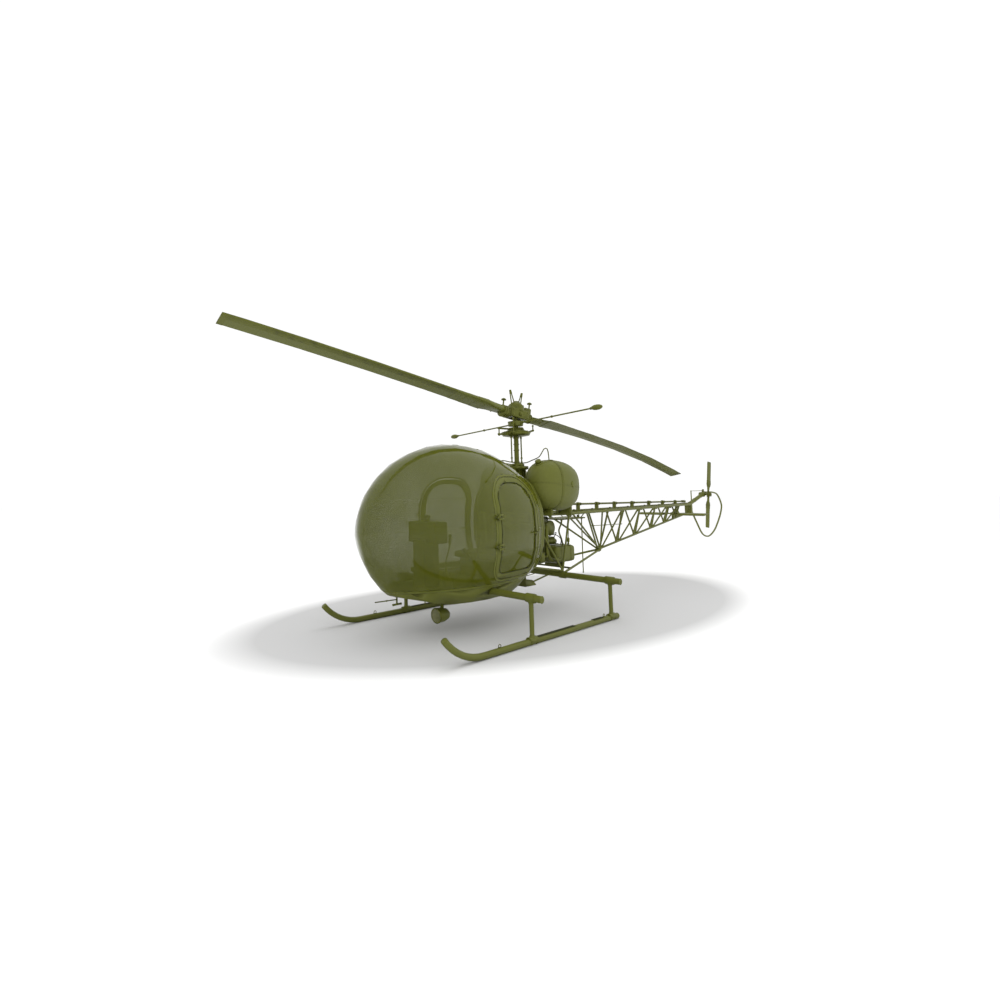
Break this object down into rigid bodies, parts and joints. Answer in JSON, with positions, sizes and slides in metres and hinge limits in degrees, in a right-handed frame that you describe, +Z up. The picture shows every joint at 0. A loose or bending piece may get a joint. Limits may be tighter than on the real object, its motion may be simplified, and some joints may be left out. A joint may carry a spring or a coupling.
{
  "type": "light helicopter",
  "caption": "Light two-seat helicopter with a bubble cabin, open engine bay, saddle fuel tanks, truss tail boom, teetering rotor and tube skids",
  "frame": {"origin": "middle of the whole machine's bounding box in plan, on the ground under the skids", "axes": "+X towards the nose along the fuselage, +Y to the machine's left side, +Z up"},
  "size_m": [12.0843, 3.0298, 3.7381],
  "materials": {
    "olive_paint": "semi-gloss olive drab paint",
    "olive_dark": "satin darker olive drab paint",
    "olive_metal": "satin olive paint over machined metal",
    "olive_acrylic": "clear glossy acrylic, olive tinted",
    "olive_canvas": "matt woven canvas"
  },
  "bodies": {
    "airframe": {"bubble": "olive_acrylic", "cabin_bulkhead": "olive_paint", "cabin_floor": "olive_paint", "centre_frame": "olive_paint", "collective_lever": "olive_metal", "cross_tube_front": "olive_paint", "cross_tube_rear": "olive_paint", "cyclic_stick_left": "olive_metal", "cyclic_stick_right": "olive_metal", "cylinder_bank_left": "olive_metal", "cylinder_bank_right": "olive_metal", "engine_accessories": "olive_metal", "engine_crankcase": "olive_metal", "exhaust_left": "olive_metal", "exhaust_right": "olive_metal", "fan_housing": "olive_paint", "fuel_tank_left": "olive_paint", "fuel_tank_right": "olive_paint", "gear_leg_front_left": "olive_paint", "gear_leg_front_right": "olive_paint", "gear_leg_rear_left": "olive_paint", "gear_leg_rear_right": "olive_paint", "instrument_console": "olive_dark", "landing_lamp": "olive_paint", "oil_tank": "olive_paint", "pedal_left_inner": "olive_metal", "pedal_left_outer": "olive_metal", "pedal_right_inner": "olive_metal", "pedal_right_outer": "olive_metal", "pitot_tube": "olive_metal", "rotor_gearbox": "olive_paint", "seat_back": "olive_canvas", "seat_base": "olive_dark", "seat_cushion": "olive_canvas", "skid_left": "olive_paint", "skid_right": "olive_paint", "tail_boom": "olive_paint", "tail_drive_shaft": "olive_metal", "tail_gearbox": "olive_paint", "tail_guard": "olive_paint", "tank_vent_line": "olive_metal", "under_pan": "olive_paint", "whip_antenna": "olive_paint"},
    "main_rotor": {"mast": "olive_metal", "mixing_levers": "olive_metal", "stabilizer_bar": "olive_paint"},
    "rotor_head": {"main_blade_aft": "olive_paint", "main_blade_forward": "olive_paint", "rotor_hub": "olive_metal"},
    "tail_rotor": {"tail_blade_lower": "olive_paint", "tail_blade_upper": "olive_paint", "tail_rotor_hub": "olive_metal"},
    "elevator": {"elevator_left": "olive_paint", "elevator_right": "olive_paint", "elevator_tube": "olive_metal"},
    "door_left": {"door_left_frame": "olive_paint", "door_left_window": "olive_acrylic"},
    "door_right": {"door_right_frame": "olive_paint", "door_right_window": "olive_acrylic"}
  },
  "joints": [
    {"name": "main_rotor_spin", "type": "hinge", "parent": "airframe", "child": "main_rotor", "pos_m": [1.5779, 0, 2.15], "axis": [0, 0, 1], "continuous": true},
    {"name": "rotor_teeter", "type": "hinge", "parent": "main_rotor", "child": "rotor_head", "pos_m": [1.5779, 0, 2.935], "axis": [0.0818, 0.9966, 0], "range_deg": [0, 18.6]},
    {"name": "tail_rotor_spin", "type": "hinge", "parent": "airframe", "child": "tail_rotor", "pos_m": [-4.9921, 0.126, 1.612], "axis": [0, 1, 0], "continuous": true},
    {"name": "elevator_tilt", "type": "hinge", "parent": "airframe", "child": "elevator", "pos_m": [-3.4821, 0, 1.242], "axis": [0, 1, 0], "range_deg": [-12, 12]},
    {"name": "door_left_swing", "type": "hinge", "parent": "airframe", "child": "door_left", "pos_m": [2.9079, 0.756, 1.29], "axis": [0, 0, -1], "range_deg": [0, 75]},
    {"name": "door_right_swing", "type": "hinge", "parent": "airframe", "child": "door_right", "pos_m": [2.9079, -0.756, 1.29], "axis": [0, 0, 1], "range_deg": [0, 75]}
  ]
}
